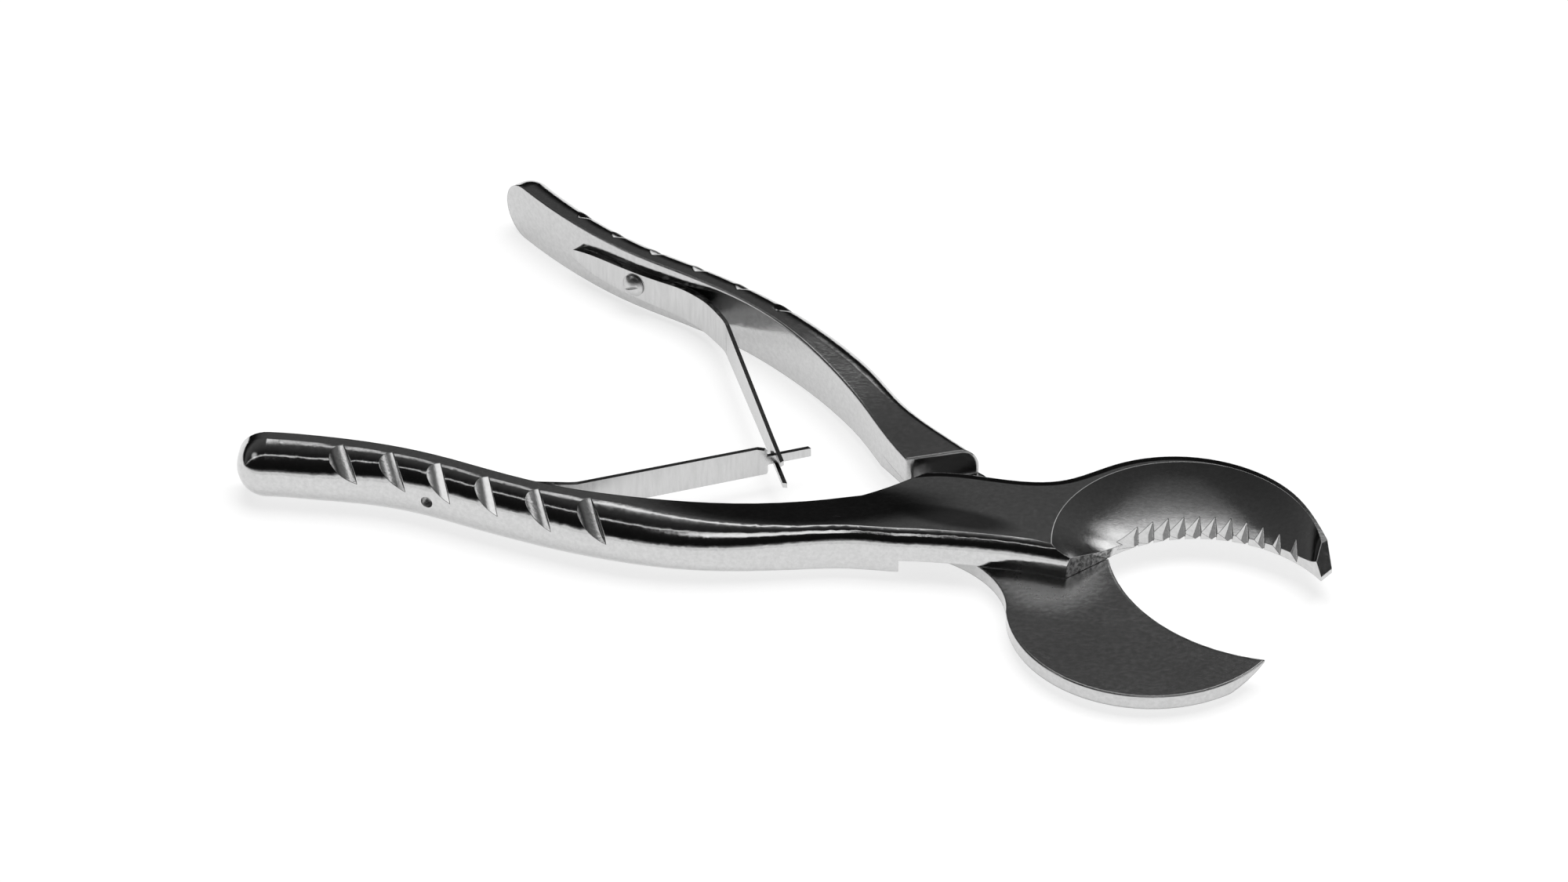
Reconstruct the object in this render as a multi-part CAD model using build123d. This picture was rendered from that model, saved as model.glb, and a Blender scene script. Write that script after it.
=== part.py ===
from build123d import *
import math
import os

os.makedirs("parts", exist_ok=True)

# Spring-handled nutcracker lying on its side, handles open.
# Millimetres, +Z up along the pivot axis, origin on that axis at the level the tool rests on.
# Each lever's handle is drawn in its own lever frame: U runs from the pivot toward the handle end,
# V points outward, away from the other lever. The lever frames are then turned into place.

# ---- driving dimensions ----
grip_height = 10.0          # height of a grip, across the tool's thickness
joint_bottom = 1.5          # underside of the lap joint
joint_top = 8.5             # top of the lap joint
lap_level = 3.9             # plane where the two levers lie on each other
lap_gap = 0.06              # clearance between the two halves of the lap joint
mid_level = grip_height / 2

closed_axis = 167.5         # direction of both lever axes when the handles are squeezed shut
opening = 33.0              # how far the blade lever swings from open to shut
jaw_handle_length = 113.6   # pivot to the middle of the rounded handle end
blade_handle_length = 112.6

grip_thickness = 5.9        # inner face to outer bulge on the grip
neck_thickness = 8.7        # the same between grip and joint
side_flat = 1.8             # flat side wall beside the inner face on the grip
corner_round = 2.5          # rounding along the outer top edge at the joint: its width and its height
corner_rise = 3.4
edge_break = 0.5            # small rounding on the lower edges
back_fall = 0.25            # sloping land along the jaw's back: its fall and its width
back_land = 1.3

pivot_shank = 6.0           # shank diameter of the pivot screw
pivot_clearance = 0.04
pivot_head = 9.5
spanner_hole = 1.3          # the two holes in the head that turn the screw
spanner_spread = 6.0
pivot_reach = 7.0           # height the shank ends at inside the jaw lever
spring_screw_at = 85.2      # distance of the spring screws from the pivot
screw_thread = 2.0
screw_head = 3.9
screw_head_height = 1.35
screw_head_edge = 0.3       # straight rim below the dome of the head
screw_slot = 0.5
spring_hole = 2.2

spring_thickness = 1.15
spring_seat_gap = 0.05      # between a spring's foot and the lever it is screwed to
spring_foot_end = 98.4
arm_start = 63.3            # where a spring's bend ends and its straight arm starts
arm_drop = 4.5              # middle line of the spring below the lever's inner face there
arm_slope = 30.5            # fall of the arm toward the other lever, in degrees
arm_end = 30.2
crossing = 35.6             # where the two arms cross
tongue_height = 1.6         # jaw spring's tongue
slot_height = 2.0           # blade spring's slot around that tongue
slot_root = 37.4

groove_count = 6
groove_first = 12.6         # first grip groove, measured from the handle end
groove_pitch = 8.3

jaw_centre = (31.1, -8.35)  # arc of the jaw's back
jaw_radius = 22.1
tooth_centre = (33.8, -24.2)
tooth_radius = 22.2
tooth_count = 11
tooth_first = 24.7
tooth_pitch = 2.46
tooth_arc = (31.0, 129.7)   # bearings of the tooth arc's ends, at the tip and at the heel
tip_land = (1.8, 2.15)      # from the tooth arc's end to the back at the tip
nose_tilt = 57.0            # lean of the sloping face above the tip's end wall, in degrees
nose_wall = 0.8             # height of that end wall
dish_centre = (31.9, -9.0)  # rim of the hollow ground into the jaw
dish_margin = 1.2           # how much smaller than the tooth arc the hollow's rim is
dish_radius = tooth_radius - dish_margin
dish_depth = 3.5
dish_curve = 0.35           # sag of the hollow's section, as a share of its depth

blade_centre = (25.4, -19.4)
blade_radius = 21.8
edge_centre = (48.5, -4.0)
edge_radius = 28.7
edge_thickness = 0.3
bevel_width = 6.5


def ease(value):
    value = min(max(value, 0.0), 1.0)
    return value * value * (3 - 2 * value)


def around(centre, radius, angle):
    """Point at a bearing, in degrees, on a circle."""
    turn = math.radians(angle)
    return (centre[0] + radius * math.cos(turn), centre[1] + radius * math.sin(turn))


def arc_between(centre, radius, start, end):
    """Arc about a centre, from one bearing to another, in degrees."""
    return ThreePointArc(*[around(centre, radius, angle) for angle in (start, (start + end) / 2, end)])


def bearing(centre, point):
    offset = Vector(point) - Vector(centre)
    return math.degrees(math.atan2(offset.Y, offset.X))


# ---- levers: a curved bar from the joint to the handle end, in the lever frame ----
def grip_line(length):
    """Points of a handle's inner face; the grip beyond its crest stretches with the length."""
    crest = 62
    grip = length - crest
    joint = [(22, 2.2), (31, 5.6), (44, 9.2), (crest, 10.9)]
    return joint + [(crest + 0.25 * grip, 9.3), (crest + 0.49 * grip, 6.8), (crest + 0.78 * grip, 6.0), (length, 6.9)]


jaw_line = Spline((-20, 2.6), (-8, 0.6), (5, -1.0), (14, -0.6), *grip_line(jaw_handle_length))
blade_line = Spline((6, -2.4), (14, -0.1), *grip_line(blade_handle_length))


def extra_thickness(line, reach):
    """Widening of the bar where it turns into the joint."""
    if line is jaw_line:
        return 1.6 * ease((22 - reach) / 8) - 4.4 * ease((14 - reach) / 34)
    waist = 1.5 * ease((reach - 20) / 14) * ease((72 - reach) / 26)
    slim_end = 0.2 * ease((reach - 40) / 20) + 1.1 * ease((reach - 86) / 22)
    return 0.23 * max(0.0, 22 - reach) - waist - slim_end


def station(line, part):
    """Plane across the bar and its dimensions there; part runs 0 at the joint to 1 at the end."""
    foot = line @ part
    along = line % part
    outward = Vector(-along.Y, along.X, 0)
    reach = foot.X
    slim = ease((72 - reach) / 30)
    swell = 1.2 * ease((reach - 88) / 22)
    flare = 0.9 * ease((30 - reach) / 10)
    thickness = grip_thickness + (neck_thickness - grip_thickness) * slim + swell + flare
    thickness += extra_thickness(line, reach)
    tall = ease((reach - 26) / 34)
    top = joint_top + (grip_height - joint_top) * tall
    bottom = joint_bottom * (1 - tall)
    rounding = ease((reach - 24) / 36)
    bulge = corner_round + (thickness - side_flat - corner_round) * rounding
    rise = corner_rise + (mid_level - 0.4 - corner_rise) * rounding
    low_bulge = edge_break + (thickness - side_flat - edge_break) * rounding
    low_rise = edge_break + (mid_level - 0.4 - edge_break) * rounding
    plane = Plane(origin=(foot.X, foot.Y, 0), x_dir=outward, z_dir=outward.cross(Vector(0, 0, 1)))
    return plane, thickness, top, bottom, bulge, rise, low_bulge, low_rise


def quarter(start, end, corner):
    """Quarter ellipse as a cubic curve between two points, bulging toward the corner."""
    pull = 0.5523
    first = (start[0] + (corner[0] - start[0]) * pull, start[1] + (corner[1] - start[1]) * pull)
    second = (end[0] + (corner[0] - end[0]) * pull, end[1] + (corner[1] - end[1]) * pull)
    return Bezier(start, first, second, end)


def bar_section(line, part):
    plane, thickness, top, bottom, bulge, rise, low_bulge, low_rise = station(line, part)
    flat = thickness - bulge
    low_flat = thickness - low_bulge
    outline = [
        Line((0, bottom), (0, top)),
        Line((0, top), (flat, top)),
        quarter((flat, top), (thickness, top - rise), (thickness, top)),
        Line((thickness, top - rise), (thickness, bottom + low_rise)),
        quarter((thickness, bottom + low_rise), (low_flat, bottom), (thickness, bottom)),
        Line((low_flat, bottom), (0, bottom)),
    ]
    return plane * make_face(outline)


def rounded_end(line):
    """Half of the end section turned about the normal of the inner face."""
    plane, thickness, top, bottom, bulge, rise, *low = station(line, 1.0)
    half = Polyline((0, mid_level), (0, top), (thickness - bulge, top))
    curve = quarter((thickness - bulge, top), (thickness, top - rise), (thickness, top))
    close = Polyline((thickness, top - rise), (thickness, mid_level), (0, mid_level))
    section = plane * make_face([half, curve, close])
    axis = Axis(plane.from_local_coords(Vector(0, mid_level, 0)), plane.x_dir)
    turned = revolve(section, axis, 180)
    if turned.bounding_box().max.X < (line @ 1).X + 2:
        turned = revolve(section, axis, -180)
    return turned


def part_at(line, reach):
    """Fraction of a bar's inner line that lies at a given distance from the pivot."""
    low, high = 0.0, 1.0
    for _ in range(30):
        middle = (low + high) / 2
        if (line @ middle).X < reach:
            low = middle
        else:
            high = middle
    return low


def grip_groove(line, reach):
    """Slanting scoop across the upper outer quarter of the grip, sharp on the side nearer the joint."""
    plane, thickness, top, *rest = station(line, part_at(line, reach))
    toward_joint = plane.z_dir * (1 if plane.z_dir.X < 0 else -1)
    start = plane.from_local_coords(Vector(side_flat + 0.1, top - 0.2, 0))
    end = plane.from_local_coords(Vector(thickness, mid_level + 0.9, 0)) + toward_joint * 3.4
    run = (end - start).normalized()
    away = (plane.x_dir + Vector(0, 0, 1)).normalized()
    across = run.cross(away).normalized()
    if across.dot(toward_joint) < 0:
        across = across * -1
    cutter = Plane(origin=start - run * 3, x_dir=across, z_dir=run)
    up = 1 if cutter.y_dir.dot(away) > 0 else -1
    scoop = make_face([
        ThreePointArc((-3.2, 1.9 * up), (-1.6, 0.7 * up), (0, 0)),
        Polyline((0, 0), (0.9, 2.6 * up), (-3.2, 2.6 * up), (-3.2, 1.9 * up)),
    ])
    return extrude(cutter * scoop, (end - start).length + 6)


def spring_seat(line):
    """Plane on the inner face at the spring screw, facing outward, and the bar's thickness there."""
    plane, thickness, *rest = station(line, part_at(line, spring_screw_at))
    return Plane(origin=plane.from_local_coords(Vector(0, mid_level, 0)), z_dir=plane.x_dir), thickness


def bar(line, stations):
    body = loft([bar_section(line, i / (stations - 1)) for i in range(stations)])
    body += rounded_end(line)
    for i in range(groove_count):
        body -= grip_groove(line, (line @ 1).X - groove_first - groove_pitch * i)
    seat, thickness = spring_seat(line)
    body -= seat * Cylinder(screw_thread / 2, 3 * thickness)
    return body


def place_jaw_side(shape):
    return Rot(Z=closed_axis) * shape


def place_blade_side(shape):
    return Rot(Z=closed_axis - opening) * mirror(shape, Plane.XZ)


def slab(outline, bottom, top):
    return extrude(Pos(Z=bottom) * make_face(outline), top - bottom)


def edges_near(shape, level, test):
    """Edges lying at one level whose middle point passes a test in plan."""
    found = ShapeList()
    for edge in shape.edges():
        middle = edge @ 0.5
        flat = abs((edge @ 0).Z - level) < 0.01 and abs((edge @ 1).Z - level) < 0.01
        if flat and abs(middle.Z - level) < 0.01 and test(middle):
            found.append(edge)
    return found


# ---- jaw lever ----
tooth_start = around(tooth_centre, tooth_radius, tooth_arc[1])
heel = (tooth_start[0] - 6.7, tooth_start[1] - 5.1)


def jaw_plate():
    """Upper half of the lap joint running into the crescent jaw."""
    shoulder = (-8.3, 9.4)
    bite = arc_between(tooth_centre, tooth_radius, *tooth_arc)
    tip = bite @ 0 + Vector(*tip_land)
    crown = [around(jaw_centre, jaw_radius, angle) for angle in (115, 90, 60, 35, 14)]
    back = Spline(shoulder, (0.0, 8.6), (8.0, 7.1), (13.0, 7.4), *crown, tip)
    return slab([
        Spline((-23.0, 1.5), (-14.8, 5.1), shoulder),
        back,
        Line(back @ 1, bite @ 0),
        bite,
        Polyline(bite @ 1, (heel[0] + 2.1, heel[1] + 1.6), (0.0, -5.0), (-23.0, -2.0), (-23.0, 1.5)),
    ], joint_bottom, joint_top)


def dish_section(angle):
    """Section of the hollow, in an upright plane fanned about the tooth arc's centre."""
    turn = math.radians(angle)
    ray = (math.cos(turn), math.sin(turn))
    gap = (tooth_centre[0] - dish_centre[0], tooth_centre[1] - dish_centre[1])
    half = gap[0] * ray[0] + gap[1] * ray[1]
    rim = -half + math.sqrt(half ** 2 - gap[0] ** 2 - gap[1] ** 2 + dish_radius ** 2)
    toe = tooth_radius - 2.0
    floor = joint_top - dish_depth + 1.9 * ease((angle - 120) / 30)
    sag = dish_curve * (joint_top - floor)
    plane = Plane(origin=(*tooth_centre, 0), x_dir=(*ray, 0), z_dir=(ray[1], -ray[0], 0))
    hollow = Bezier((rim, joint_top), ((rim + toe) / 2, (joint_top + floor) / 2 - sag), (toe, floor))
    lift = joint_top + 2.0
    walls = Polyline((toe, floor), (toe, lift), (rim + 2.0, lift), (rim, joint_top))
    return plane * make_face([hollow, walls])


def tooth_notch(number):
    """Slanting notch, deeper on the dished side and steep on its right flank."""
    across = tooth_first + tooth_pitch * number
    reach = tooth_centre[1] + math.sqrt(tooth_radius ** 2 - (across - tooth_centre[0]) ** 2)
    slope = 1.6
    shallower = 1.3 * ease((number - 6) / 5) + 0.5 * ease((2 - number) / 3)
    start = reach + 0.7 - slope - shallower
    mouth = make_face(Polyline((across, start), (across + 0.25, start - 4.5), (across - 3.4, start - 3.57), (across, start)))
    lean = Vector(0, slope, 1)
    return extrude(Pos(Z=lap_level - 1) * mouth, 7 * lean.length, dir=lean.normalized())


def nose_cutter():
    """Space above the sloping face that ends the jaw at its tip."""
    foot = around(tooth_centre, tooth_radius, tooth_arc[0])
    along = Vector(*tip_land).normalized()
    lean = math.radians(nose_tilt)
    facing = Vector(along.Y, -along.X, 0) * math.sin(lean) + Vector(0, 0, math.cos(lean))
    return Plane(origin=(*foot, lap_level + nose_wall), x_dir=along, z_dir=facing) * Pos(Z=5) * Box(24, 24, 10)


def make_jaw_lever():
    plate = jaw_plate()
    top = plate.faces().sort_by(Axis.Z)[-1]
    back = edges_near(plate, joint_top, lambda p: p.Y > 5 and p.X > -3)
    plate = chamfer(back, back_land, back_fall, reference=top) - nose_cutter()
    body = plate + place_jaw_side(bar(jaw_line, 20))
    beyond = (2 * heel[0] - tooth_start[0], 2 * heel[1] - tooth_start[1])
    body -= slab(Polyline(tooth_start, heel, beyond, (20, -25), (tooth_centre[0], -12), tooth_start), 0, grip_height)
    recess = Polyline((-12.5, -9), (-16.2, 6), (-16.2, 30), (70, 30), (70, -40), (-12.5, -40), (-12.5, -9))
    body -= slab(recess, 0, lap_level + lap_gap / 2)
    body -= loft([dish_section(angle) for angle in range(32, 154, 12)])
    for number in range(tooth_count):
        body -= tooth_notch(number)
    body -= Pos(Z=(lap_level + pivot_reach) / 2) * Cylinder(pivot_shank / 2, pivot_reach - lap_level)
    return body


# ---- blade lever ----
def make_blade_lever():
    body = place_blade_side(bar(blade_line, 18))
    shoulder_left = (-11.4, 12.6)
    shoulder_right = (0.9, 15.6)
    past_shoulder = Polyline((-20, 10.5), shoulder_left, shoulder_right, (20, 20.3), (20, -20), (-20, -20), (-20, 10.5))
    body -= slab(past_shoulder, 0, grip_height)
    neck_foot = (-7.3, -3.8)
    tip_bearing = 360 + bearing(blade_centre, (43.1, -32.4))
    outer = arc_between(blade_centre, blade_radius, 182, tip_bearing)
    edge = arc_between(edge_centre, edge_radius, bearing(edge_centre, outer @ 1), bearing(edge_centre, tooth_start))
    plan = [
        Spline(neck_foot, (-1.2, -8.1), (2.6, -13.6), outer @ 0),
        outer,
        Line(outer @ 1, edge @ 0),
        edge,
        Spline(edge @ 1, (9.6, 3.6), (1.0, 14.6)),
        Polyline((1.0, 14.6), (-3.0, 18.0), (-12, 20.0), (-14, -3.8), neck_foot),
    ]
    plate = slab(plan, joint_bottom, lap_level - lap_gap / 2)
    bevel = Polyline(
        (edge_radius - 2, 0), (edge_radius + bevel_width, 0), (edge_radius + bevel_width, joint_bottom),
        (edge_radius, lap_level - edge_thickness), (edge_radius - 2, lap_level), (edge_radius - 2, 0),
    )
    ground = revolve(Plane.XZ * make_face(bevel), Axis.Z, 360)
    plate -= Pos(*edge_centre, 0) * ground
    body += plate
    neck = Spline((-15.9, 21.2), (-13.2, 17.2), (-9.6, 11.0), neck_foot)
    relief = make_face([neck, Polyline(neck_foot, (-30, -12), (-30, 21.2), (-15.9, 21.2))])
    body -= extrude(relief, lap_level)
    body -= Cylinder(pivot_shank / 2 + pivot_clearance, 3 * grip_height)
    return body


# ---- pivot screw, entering from below; its head is the foot the joint rests on ----
def make_pivot_screw():
    head_top = joint_bottom - 0.02
    head = Pos(Z=head_top / 2) * Cylinder(pivot_head / 2, head_top)
    head = fillet(head.edges().group_by(Axis.Z)[0], 0.3)
    for side in (-1, 1):
        head -= Pos(X=side * spanner_spread / 2) * Cylinder(spanner_hole / 2, 1.6)
    shank = Pos(Z=pivot_reach / 2) * Cylinder(pivot_shank / 2, pivot_reach - 0.2)
    return head + shank


# ---- springs: bent strips in the lever frame ----
def spring_strip(line):
    """Plan of a spring: foot along the lever's inner face, bend, then the straight arm."""
    middle = []
    for behind in (-1.1, 2.4, 6.4, 10.4, 14.4, 18.4, 21.9):
        reach = spring_foot_end - behind
        plane, *rest = station(line, part_at(line, reach))
        middle.append(plane.origin - plane.x_dir * (spring_thickness / 2 + spring_seat_gap))
    fall = math.radians(arm_slope)
    down_arm = Vector(-math.cos(fall), -math.sin(fall), 0)
    start_way = (middle[1] - middle[0]).normalized()
    for ahead, drop in ((10.0, 0.24), (6.8, 0.41), (2.8, 0.73), (0, 1)):
        face = line @ part_at(line, arm_start + ahead)
        middle.append(face - Vector(0, arm_drop * drop, 0))
    core = Spline(*middle, tangents=(start_way, down_arm))
    arm = down_arm * ((arm_start - arm_end) / math.cos(fall))
    sides = []
    for offset in (spring_thickness / 2, -spring_thickness / 2):
        points = []
        for i in range(25):
            way = core % (i / 24)
            points.append(core @ (i / 24) + Vector(-way.Y, way.X, 0) * offset)
        sides.append(Spline(*points, tangents=(core % 0, core % 1)))
    near, far = sides
    tips = [side @ 1 + arm for side in sides]
    edges = [near, Line(near @ 1, tips[0]), Line(tips[0], tips[1]), Line(tips[1], far @ 1), far]
    return slab(edges + [Line(far @ 0, near @ 0)], 0, grip_height)


def foot_edge(arm_half, side):
    """Tapering edge of a spring's foot seen from the front, from its end to the arm."""
    return Spline(
        (spring_foot_end, mid_level + 0.8 * side), (spring_foot_end - 6.4, mid_level + 2.1 * side),
        (spring_foot_end - 11.8, mid_level + 2.4 * side), (spring_foot_end - 16.9, mid_level + 2.6 * side),
        (arm_start + 9.7, mid_level + 3.0 * side), (arm_start, mid_level + arm_half * side),
    )


def make_spring(line, arm_half, arm_outline):
    """Strip trimmed to its outline seen from the front, with the hole for its screw."""
    upper = foot_edge(arm_half, 1)
    lower = foot_edge(arm_half, -1)
    tip = ThreePointArc(lower @ 0, (spring_foot_end + 0.4, mid_level), upper @ 0)
    outline = Plane.XZ * make_face([tip, upper, Polyline(upper @ 1, *arm_outline, lower @ 1), lower])
    strip = spring_strip(line) & extrude(outline, 60, both=True)
    seat, thickness = spring_seat(line)
    return strip - seat * Cylinder(spring_hole / 2, 4 * spring_thickness)


def make_jaw_spring():
    half = 2.6
    shoulder = crossing + 0.65
    tongue = tongue_height / 2
    return make_spring(jaw_line, half + 0.1, [
        (shoulder + 1.5, mid_level + half), (shoulder + 0.4, mid_level + half - 0.5),
        (shoulder, mid_level + half - 1.2), (shoulder, mid_level + tongue), (arm_end - 1, mid_level + tongue),
        (arm_end - 1, mid_level - tongue), (shoulder, mid_level - tongue), (shoulder, mid_level - half),
    ])


def make_blade_spring():
    half = 1.9
    slot = slot_height / 2
    short_prong = arm_end + 1.6
    return make_spring(blade_line, 2.8, [
        (slot_root, mid_level + half), (short_prong, mid_level + half), (short_prong, mid_level + slot),
        (slot_root, mid_level + slot), (slot_root, mid_level - slot), (arm_end - 1, mid_level - slot),
        (arm_end - 1, mid_level - half), (slot_root, mid_level - half),
    ])


# ---- spring screws ----
def make_spring_screw(line):
    """Slotted dome head on the spring, thread running outward into the lever."""
    seat, thickness = spring_seat(line)
    head_seat = -spring_thickness - 2 * spring_seat_gap
    edge = head_seat - screw_head_edge
    crown = head_seat - screw_head_height
    half = screw_head / 2
    end = thickness - 1.0
    dome = ThreePointArc((half, edge), (half * 0.55, crown + 0.3 * (edge - crown)), (0, crown))
    shank = screw_thread / 2
    sides = Polyline((0, crown), (0, end), (shank, end), (shank, head_seat), (half, head_seat), (half, edge))
    screw = revolve(Plane.XZ * make_face([dome, sides]), Axis.Z, 360)
    screw -= Pos(Z=crown) * Rot(Z=25) * Box(2 * screw_head, screw_slot, 1.1)
    return seat * screw


pieces = {
    "jaw_lever": make_jaw_lever(),
    "blade_lever": make_blade_lever(),
    "pivot_screw": make_pivot_screw(),
    "jaw_spring": place_jaw_side(make_jaw_spring()),
    "blade_spring": place_blade_side(make_blade_spring()),
    "jaw_spring_screw": place_jaw_side(make_spring_screw(jaw_line)),
    "blade_spring_screw": place_blade_side(make_spring_screw(blade_line)),
}
for name, shape in pieces.items():
    print(name, shape.is_valid, len(shape.solids()), round(shape.volume, 2))
    export_step(shape, f"parts/{name}.step")
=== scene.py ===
import bpy
import bmesh
import math
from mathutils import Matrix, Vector


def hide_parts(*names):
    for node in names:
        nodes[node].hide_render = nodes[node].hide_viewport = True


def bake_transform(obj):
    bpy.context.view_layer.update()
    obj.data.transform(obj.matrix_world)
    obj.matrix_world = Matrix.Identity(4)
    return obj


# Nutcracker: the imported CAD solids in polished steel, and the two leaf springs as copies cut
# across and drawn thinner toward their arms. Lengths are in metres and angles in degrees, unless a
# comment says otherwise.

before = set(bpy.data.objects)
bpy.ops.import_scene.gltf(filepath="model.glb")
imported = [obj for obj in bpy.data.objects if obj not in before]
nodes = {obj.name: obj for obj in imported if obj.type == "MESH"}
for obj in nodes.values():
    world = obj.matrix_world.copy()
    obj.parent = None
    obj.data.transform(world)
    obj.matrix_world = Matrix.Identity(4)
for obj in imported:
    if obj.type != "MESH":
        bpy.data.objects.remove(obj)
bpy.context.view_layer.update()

# The levers' own directions, as in the CAD: U along the handle from the pivot, V outward.
JAW_ANGLE = math.radians(167.5)
BLADE_ANGLE = math.radians(134.5)
JAW_U = Vector((math.cos(JAW_ANGLE), math.sin(JAW_ANGLE), 0))
JAW_V = Vector((-JAW_U.y, JAW_U.x, 0))
BLADE_U = Vector((math.cos(BLADE_ANGLE), math.sin(BLADE_ANGLE), 0))
BLADE_V = Vector((BLADE_U.y, -BLADE_U.x, 0))
MID_HEIGHT = Vector((0, 0, 5.0))  # millimetres


def at(u_axis, v_axis, u, v):
    """Point in metres, at half height, from lever coordinates in millimetres."""
    return (u_axis * u + v_axis * v + MID_HEIGHT) / 1000


def grey(value):
    return (value, value, value, 1)


# ---- shader nodes ----
def put(socket, value):
    """Link an output to the socket, or set the socket to a fixed value."""
    if isinstance(value, bpy.types.NodeSocket):
        socket.id_data.links.new(value, socket)
    else:
        socket.default_value = value


def add(tree, kind, values=None, **settings):
    """New node: settings are its own properties, values go to its inputs by name or number."""
    node = tree.nodes.new(kind)
    for key, value in settings.items():
        setattr(node, key, value)
    for key, value in (values or {}).items():
        put(node.inputs[key], value)
    return node


def calculate(tree, operation, first, second=0.0):
    node = add(tree, "ShaderNodeMath", {0: first, 1: second}, operation=operation)
    return node.outputs["Value"]


def vector_math(tree, operation, values, output="Vector"):
    node = add(tree, "ShaderNodeVectorMath", values, operation=operation)
    return node.outputs[output]


def map_range(tree, value, span, result=(0.0, 1.0), smooth=False):
    """Value taken from one span to another and held at its ends; a span may run downward."""
    node = add(
        tree, "ShaderNodeMapRange",
        {"Value": value, "From Min": span[0], "From Max": span[1],
         "To Min": result[0], "To Max": result[1]},
        interpolation_type="SMOOTHSTEP" if smooth else "LINEAR")
    return node.outputs["Result"]


def mix_colour(tree, factor, first, second):
    node = add(
        tree, "ShaderNodeMix", {"Factor": factor, "A": first, "B": second}, data_type="RGBA")
    return node.outputs["Result"]


def noise(tree, vector, scale, detail, roughness):
    node = add(
        tree, "ShaderNodeTexNoise",
        {"Vector": vector, "Scale": scale, "Detail": detail, "Roughness": roughness})
    return node.outputs["Fac"]


def bump(tree, strength, distance, height, normal):
    node = add(
        tree, "ShaderNodeBump",
        {"Strength": strength, "Distance": distance, "Height": height, "Normal": normal})
    return node.outputs["Normal"]


def face_normal(tree):
    return add(tree, "ShaderNodeNewGeometry").outputs["Normal"]


def height_of(tree, normal):
    """How far a normal points up: 1 on a level top face, 0 on an upright one."""
    return add(tree, "ShaderNodeSeparateXYZ", {"Vector": normal}).outputs["Z"]


def node_tree(name):
    material = bpy.data.materials.new(name)
    material.use_nodes = True
    tree = material.node_tree
    return material, tree, tree.nodes["Principled BSDF"]


# ---- steel ----
# The polishing lines vary the colour between two shares of it. The spans are values of noise.
TINT_DARK = 0.93
TINT_LIGHT = 1.04
TINT_SPAN = (0.36, 0.64)
GLOSS_SPAN = (0.3, 0.7)
CLOUD_SCALE = 55.0
WAVE_SCALE = 160.0
WAVE_STRENGTH = 0.5
SCRATCH_DEPTH = 0.00002
# The upright face at the jaw's heel is darkened and scratched: painted shade over a scratch
# pattern.
# Its normal, how closely a face has to match that, the noise that makes its scratches, their
# greys, and where the patch starts to fade.
HEEL_NORMAL = (0.606, -0.796, 0)
HEEL_FACING = (0.93, 0.99)
HEEL_SCRATCHES = (0.4, 0.6)
HEEL_SHADE_GREYS = (0.08, 0.34)
HEEL_RIM = 0.9
# Soft ovals on level faces: the rim in half sizes, from outside to inside, and how level a face
# has to be. One oval leans the normal. The other is painted shade, a dark reflection painted into
# the colour.
OVAL_RIM = (1.3, 0.65)
OVAL_LEVEL = (0.97, 0.995)
SAG_LEAN = (0, 0.16, 0)
PAINTED_SHADE_GREY = 0.08
# The springs' long edges face up or down. Their colour is darkened there as painted shade, standing
# in for a dark reflection.
SHADED_EDGE_SPAN = (0.6, 0.9)


def distance_from(tree, place, middle):
    return vector_math(tree, "DISTANCE", {0: place, 1: middle}, "Value")


def painted_heel_shade(tree, place, tint, lines, middle, radius):
    """Colour with a darker, scratched patch on the upright face at the jaw's heel: painted shade
    over scratches.
    """
    near = map_range(tree, distance_from(tree, place, middle), (radius, HEEL_RIM * radius))
    facing = vector_math(tree, "DOT_PRODUCT", {0: face_normal(tree), 1: HEEL_NORMAL}, "Value")
    amount = calculate(tree, "MULTIPLY", near, map_range(tree, facing, HEEL_FACING))
    return mix_colour(tree, amount, tint, map_range(tree, lines, HEEL_SCRATCHES, HEEL_SHADE_GREYS))


def soft_oval(tree, place, middle, half_sizes, turn, share):
    """The share inside an oval, seen from above, on level faces, fading out over its rim."""
    oval = add(
        tree, "ShaderNodeMapping",
        {"Vector": place, "Location": (*middle, 0), "Rotation": (0, 0, math.radians(turn)),
         "Scale": (*half_sizes, 1)},
        vector_type="TEXTURE")
    away = vector_math(tree, "LENGTH", {0: oval.outputs["Vector"]}, "Value")
    inside = map_range(tree, away, OVAL_RIM, (0.0, share), smooth=True)
    level = map_range(tree, height_of(tree, face_normal(tree)), OVAL_LEVEL)
    return calculate(tree, "MULTIPLY", inside, level)


def sagging(tree, place, normal, sag):
    """Normal of a top face that falls away a little to the back within a soft oval."""
    lean = vector_math(tree, "SCALE", {0: SAG_LEAN, "Scale": soft_oval(tree, place, *sag)})
    turned = add(
        tree, "ShaderNodeVectorTransform", {"Vector": lean},
        vector_type="VECTOR", convert_from="OBJECT", convert_to="WORLD")
    tilted = vector_math(tree, "ADD", {0: normal, 1: turned.outputs["Vector"]})
    return vector_math(tree, "NORMALIZE", {0: tilted})


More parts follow.
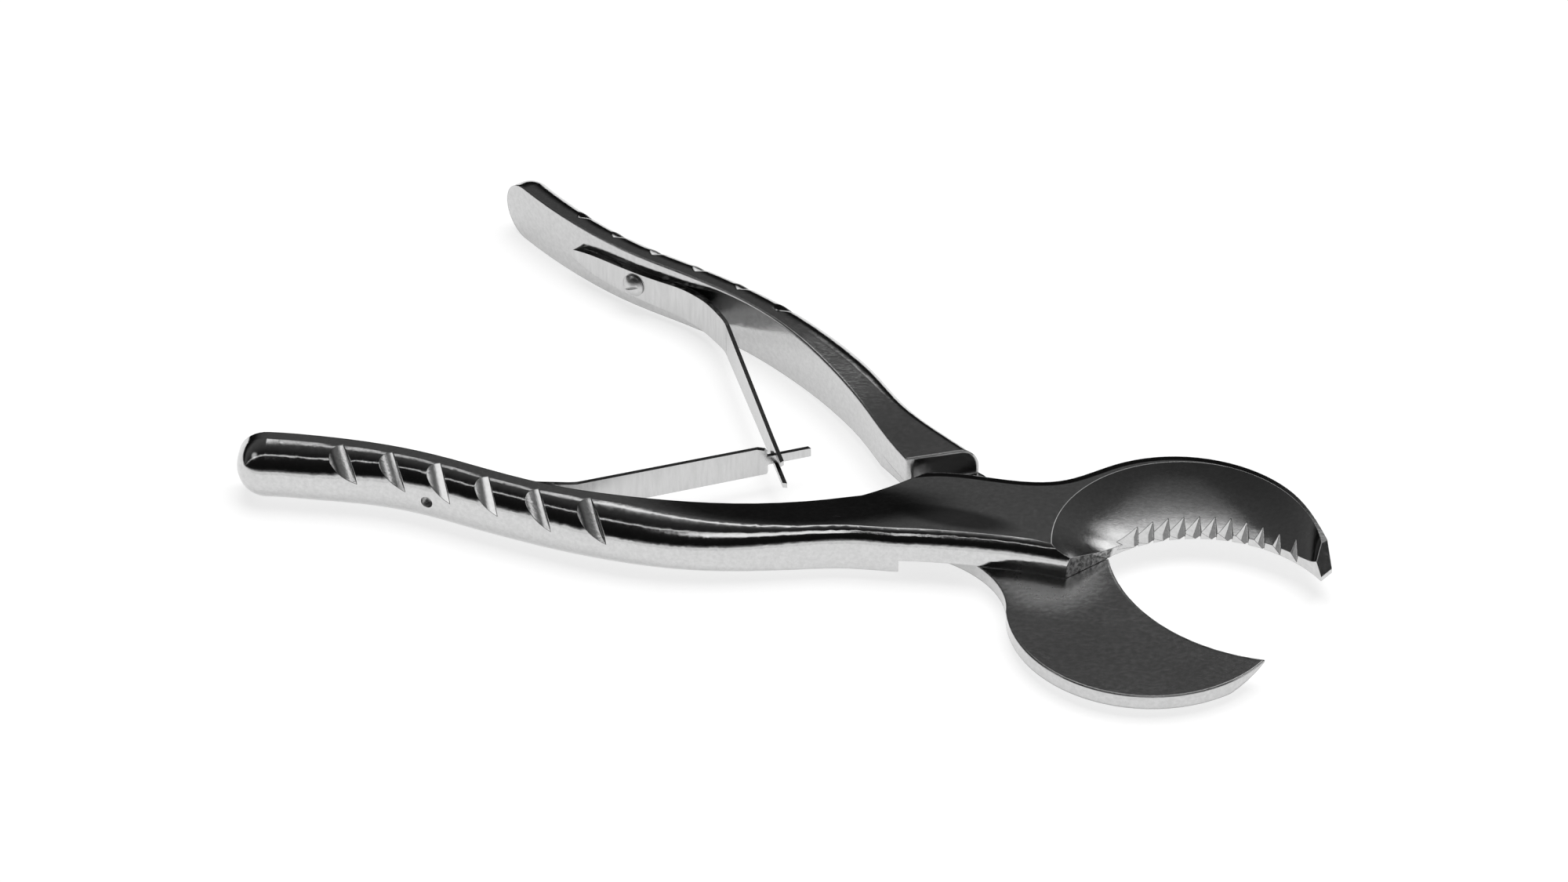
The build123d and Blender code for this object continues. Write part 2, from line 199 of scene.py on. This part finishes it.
def steel(name, shade, roughness, spread, scratch, scale, stretch, edge, wave,
          satin=None, painted_edge_shade=None, heel_shade_patch=None, sag=None, painted_shade_oval=None):
    """Polished steel: faint polishing lines, uneven gloss and a few hairline marks.

    satin: extra roughness, its middle, and the distances at which it is full and gone.
    The edge shade: share of the colour that is left on faces that look up or down, as painted
    shade.
    The heel patch: middle and radius of the darkened, scratched patch of painted shade at the heel.
    sag, and the oval of painted shade (a dark reflection painted into the colour): soft ovals, as
    middle, half sizes, turn and share.
    """
    material, tree, shader = node_tree(name)
    shader.inputs["Metallic"].default_value = 1.0
    place = add(tree, "ShaderNodeTexCoord").outputs["Object"]
    stretched = add(tree, "ShaderNodeMapping", {"Vector": place, "Scale": stretch})
    lines = noise(tree, stretched.outputs["Vector"], scale, detail=6.0, roughness=0.62)
    cloud = noise(tree, place, CLOUD_SCALE, detail=3.0, roughness=0.5)

    uneven = add(tree, "ShaderNodeMix", {"Factor": 0.5, "A": cloud, "B": lines})
    gloss = map_range(
        tree, uneven.outputs["Result"], GLOSS_SPAN, (roughness - spread, roughness + spread))
    if satin:
        extra, middle, full, gone = satin
        apart = distance_from(tree, place, middle)
        duller = map_range(tree, apart, (gone, full), (0.0, extra), smooth=True)
        gloss = calculate(tree, "ADD", gloss, duller)
    put(shader.inputs["Roughness"], gloss)

    fleck = map_range(tree, lines, TINT_SPAN)
    colour = mix_colour(tree, fleck, grey(TINT_DARK * shade), grey(TINT_LIGHT * shade))
    # Painted shade: faces that look up or down are darkened in colour.
    if painted_edge_shade:
        upward = calculate(tree, "ABSOLUTE", height_of(tree, face_normal(tree)))
        rim = map_range(tree, upward, SHADED_EDGE_SPAN)
        colour = mix_colour(tree, rim, colour, grey(painted_edge_shade * shade))
    # Painted shade: the heel's upright face is darkened in colour, with scratches over it.
    if heel_shade_patch:
        colour = painted_heel_shade(tree, place, colour, lines, *heel_shade_patch)
    # Painted shade: a soft dark oval on level faces that stands in for a dark reflection.
    if painted_shade_oval:
        colour = mix_colour(
            tree, soft_oval(tree, place, *painted_shade_oval), colour, grey(PAINTED_SHADE_GREY))
    put(shader.inputs["Base Color"], colour)

    normal = add(tree, "ShaderNodeBevel", {"Radius": edge}, samples=8).outputs["Normal"]
    if sag:
        normal = sagging(tree, place, normal, sag)
    waves = noise(tree, place, WAVE_SCALE, detail=1.0, roughness=0.4)
    normal = bump(tree, WAVE_STRENGTH, wave, waves, normal)
    put(shader.inputs["Normal"], bump(tree, scratch, SCRATCH_DEPTH, lines, normal))
    return material


jaw_steel = steel(
    "polished_steel", 0.62, 0.11, 0.04,
    scratch=0.45, scale=1500.0, stretch=(0.9, 1.0, 1.0), edge=0.00015, wave=0.00005,
    heel_shade_patch=((0.0165, -0.0095, 0.006), 0.0055),
    sag=((-0.0294, 0.001), (0.0238, 0.006), 0, 1.0),
    painted_shade_oval=((-0.0042, -0.0024), (0.0092, 0.0024), -16, 0.7))
blade_steel = steel(
    "polished_blade_steel", 0.58, 0.11, 0.04,
    scratch=0.7, scale=1500.0, stretch=(0.8, 1.0, 1.0), edge=0.0006, wave=0.00005,
    satin=(0.17, (0.011, -0.012, 0.005), 0.004, 0.0115))
spring_steel = steel(
    "spring_steel", 0.6, 0.24, 0.06,
    scratch=0.4, scale=1400.0, stretch=(1.0, 1.0, 0.15), edge=0.00006, wave=0.00003,
    painted_edge_shade=0.2)
screw_steel = steel(
    "screw_steel", 0.62, 0.32, 0.05,
    scratch=0.3, scale=1500.0, stretch=(1.0, 1.0, 1.0), edge=0.00008, wave=0.00002)


def dress(item, material):
    item.data.materials.clear()
    item.data.materials.append(material)


dress(nodes["jaw_lever"], jaw_steel)
dress(nodes["blade_lever"], blade_steel)
for name in ("pivot_screw", "jaw_spring_screw", "blade_spring_screw"):
    dress(nodes[name], screw_steel)

# ---- springs: copies of the CAD strips, cut across and drawn thinner toward the free arm ----
# In millimetres along the lever's U, unless a line says otherwise.
CUT_START = 80.0
CUT_STEP = 0.9
CUTS = 46  # how many
SAME_PLACE = 0.01
STRAIGHT_BELOW = 60
THIN_START = 77
THIN_RUN = 13
THIN_SHARE = 0.42  # of the thickness


def thin_the_arm(work, u_axis, v_axis):
    """Draw the strip thinner toward its free arm, about its own middle line."""
    stations = [CUT_START - step * CUT_STEP for step in range(CUTS)]
    places = [
        (vert, vert.co.dot(u_axis) * 1000, vert.co.dot(v_axis) * 1000) for vert in work.verts]
    middles = []
    for station in stations:
        section = [v for vert, u, v in places if abs(u - station) < SAME_PLACE]
        middles.append((min(section) + max(section)) / 2)
    on_arm = [(u, v) for u, v in zip(stations, middles) if u < STRAIGHT_BELOW]
    slope = (on_arm[0][1] - on_arm[-1][1]) / (on_arm[0][0] - on_arm[-1][0])
    for vert, u, v in places:
        if u > CUT_START:
            continue
        if u < on_arm[0][0]:
            middle = on_arm[0][1] + slope * (u - on_arm[0][0])
        else:
            index = min(int((CUT_START - u) / CUT_STEP), CUTS - 2)
            part = (stations[index] - u) / CUT_STEP
            middle = middles[index] + part * (middles[index + 1] - middles[index])
        fade = min(max((THIN_START - u) / THIN_RUN, 0), 1)
        share = THIN_SHARE * fade * fade * (3 - 2 * fade)
        vert.co += v_axis * ((v - middle) * -share / 1000)


def bending_spring(node_name, piece_name, u_axis, v_axis):
    """Copy of a CAD spring, cut across and drawn thinner toward its free arm."""
    mesh = nodes[node_name].data.copy()
    piece = bpy.data.objects.new(piece_name, mesh)
    bpy.context.scene.collection.objects.link(piece)
    work = bmesh.new()
    work.from_mesh(mesh)
    bmesh.ops.remove_doubles(work, verts=work.verts, dist=1e-6)
    for step in range(CUTS):
        where = at(u_axis, v_axis, CUT_START - step * CUT_STEP, 0)
        everything = work.verts[:] + work.edges[:] + work.faces[:]
        bmesh.ops.bisect_plane(
            work, geom=everything, plane_co=where, plane_no=u_axis, dist=1e-7)
    thin_the_arm(work, u_axis, v_axis)
    work.to_mesh(mesh)
    work.free()
    mesh.shade_smooth()
    mesh.set_sharp_from_angle(angle=math.radians(32))
    bevel = piece.modifiers.new("edge", "BEVEL")
    bevel.width = 0.00008
    bevel.segments = 2
    bevel.limit_method = "ANGLE"
    bevel.angle_limit = math.radians(50)
    bevel.harden_normals = True
    dress(piece, spring_steel)
    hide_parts(node_name)
    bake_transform(piece)


bending_spring("jaw_spring", "jaw_leaf_spring", JAW_U, JAW_V)
bending_spring(
    "blade_spring", "blade_leaf_spring", BLADE_U, BLADE_V)

# ---- floor: grey paper under the light, lifted to white where the camera or the steel sees it ----
FLOOR_SIZE = 6.0
FLOOR_DROP = 0.0003
FLOOR_GREY = 0.4
FLOOR_LIFT = 0.72

bpy.ops.mesh.primitive_plane_add(size=FLOOR_SIZE, location=(0, 0, -FLOOR_DROP))
floor = bpy.context.active_object
floor.name = "floor"
floor_material, tree, shader = node_tree("floor_paper")
shader.inputs["Base Color"].default_value = grey(FLOOR_GREY)
shader.inputs["Roughness"].default_value = 0.9
shader.inputs["Specular IOR Level"].default_value = 0.1
rays = add(tree, "ShaderNodeLightPath").outputs
seen = calculate(tree, "MAXIMUM", rays["Is Camera Ray"], rays["Is Glossy Ray"])
seen = calculate(tree, "MAXIMUM", seen, rays["Is Transmission Ray"])
shader.inputs["Emission Color"].default_value = (1, 1, 1, 1)
put(shader.inputs["Emission Strength"], calculate(tree, "MULTIPLY", seen, FLOOR_LIFT))
floor.data.materials.append(floor_material)

# ---- lamp: soft, over the object; it lights the floor and casts the object's shadow ----
LAMP_PLACE = (0.15, 0.35, 1.6)
LAMP_SIZE = (1.6, 1.2)
LAMP_WATTS = 22

light = bpy.data.lights.new("soft_top", "AREA")
light.shape = "RECTANGLE"
light.size, light.size_y = LAMP_SIZE
light.energy = LAMP_WATTS
lamp = bpy.data.objects.new("soft_top", light)
bpy.context.scene.collection.objects.link(lamp)
lamp.location = LAMP_PLACE
lamp.rotation_euler = (-Vector(LAMP_PLACE)).to_track_quat("-Z", "Y").to_euler()
lamp.visible_glossy = False

# ---- world: what the steel reflects ----
# A dark room, a soft panel low behind, a thin strip overhead, a pale wall low in front and a few
# soft round lamps. Each band is a list of (angle, brightness), and the angle runs over the top
# from the back horizon, at 0, to the front horizon, at 180.
ROOM = (
    (0, 0.004), (20, 0.008), (33, 0.075), (40, 0.085), (60, 0.062), (76, 0.035), (92, 0.012),
    (158, 0.005), (165, 0.2), (170, 0.9))
PANEL = (
    (44, 0), (46.5, 0.7), (49, 1.0), (52, 0.92), (55, 0.5), (57.5, 0.24), (61, 0.12), (66, 0.05),
    (74, 0))
PANEL_LEVEL = 1.3
# The panel's middle, from the back toward +X, and its half widths where it is full and gone, in
# radians around the vertical axis.
PANEL_MIDDLE = 0.175
PANEL_FULL = 0.21
PANEL_GONE = 0.454
STRIP = ((100.2, 0), (101.6, 1), (103.0, 0))
STRIP_LEVEL = 2.5
# Azimuth from the back toward +X, elevation, the angles from the lamp's middle at which its
# light is full and gone, and brightness.
ROUND_LAMPS = (
    (87, 34, 8, 20, 1.0), (-92, 44, 5, 13, 0.6), (19, 36, 3, 9, 1.4), (172, 68, 3, 11, 1.3),
    (118, 66, 6, 20, 0.14))

world = bpy.data.worlds.new("studio")
bpy.context.scene.world = world
world.use_nodes = True
tree = world.node_tree
direction = add(tree, "ShaderNodeTexCoord").outputs["Generated"]
axes = add(tree, "ShaderNodeSeparateXYZ", {"Vector": direction}).outputs
over = calculate(
    tree, "DIVIDE", calculate(tree, "ARCTAN2", axes["Z"], axes["Y"]), math.pi)
sideways = calculate(tree, "ARCTAN2", axes["X"], axes["Y"])


def band(stops):
    """Brightness by the angle over the top."""
    node = add(tree, "ShaderNodeValToRGB", {"Fac": over})
    node.color_ramp.interpolation = "LINEAR"
    elements = node.color_ramp.elements
    while len(elements) < len(stops):
        elements.new(0.5)
    for element, (angle, value) in zip(elements, stops):
        element.position = angle / 180
        element.color = grey(value)
    return node.outputs["Color"]


def round_lamp(azimuth, elevation, full, gone):
    """Soft round light: 1 within one angle of its middle, 0 beyond the other."""
    turn, up = math.radians(azimuth), math.radians(elevation)
    aim = (math.sin(turn) * math.cos(up), math.cos(turn) * math.cos(up), math.sin(up))
    toward = vector_math(tree, "DOT_PRODUCT", {0: direction, 1: aim}, "Value")
    rim = (math.cos(math.radians(gone)), math.cos(math.radians(full)))
    return map_range(tree, toward, rim, smooth=True)


aside = calculate(tree, "ABSOLUTE", calculate(tree, "SUBTRACT", sideways, PANEL_MIDDLE))
panel_width = map_range(tree, aside, (PANEL_GONE, PANEL_FULL), smooth=True)
panel_light = calculate(tree, "MULTIPLY", band(PANEL), panel_width)
total = calculate(
    tree, "ADD", band(ROOM), calculate(tree, "MULTIPLY", panel_light, PANEL_LEVEL))
for *lamp_shape, level in ROUND_LAMPS:
    total = calculate(
        tree, "ADD", total, calculate(tree, "MULTIPLY", round_lamp(*lamp_shape), level))
total = calculate(
    tree, "ADD", total, calculate(tree, "MULTIPLY", band(STRIP), STRIP_LEVEL))
background = tree.nodes["Background"]
put(background.inputs["Strength"], total)
background.inputs["Color"].default_value = (1, 1, 1, 1)

# ---- camera: the photograph's viewing angle ----
CAMERA_TARGET = Vector((-0.03069, 0.02208, 0.005))
CAMERA_ELEVATION = math.radians(37)
CAMERA_DISTANCE = 1.1

toward_camera = Vector((0, -math.cos(CAMERA_ELEVATION), math.sin(CAMERA_ELEVATION)))
camera_data = bpy.data.cameras.new("camera")
camera_data.sensor_width = 36.0
camera_data.lens = 158.4
camera_data.clip_end = 20
camera = bpy.data.objects.new("camera", camera_data)
bpy.context.scene.collection.objects.link(camera)
camera.location = CAMERA_TARGET + toward_camera * CAMERA_DISTANCE
camera.rotation_euler = (CAMERA_TARGET - camera.location).to_track_quat("-Z", "Y").to_euler()
bpy.context.scene.camera = camera
bpy.context.scene.view_settings.view_transform = "Standard"
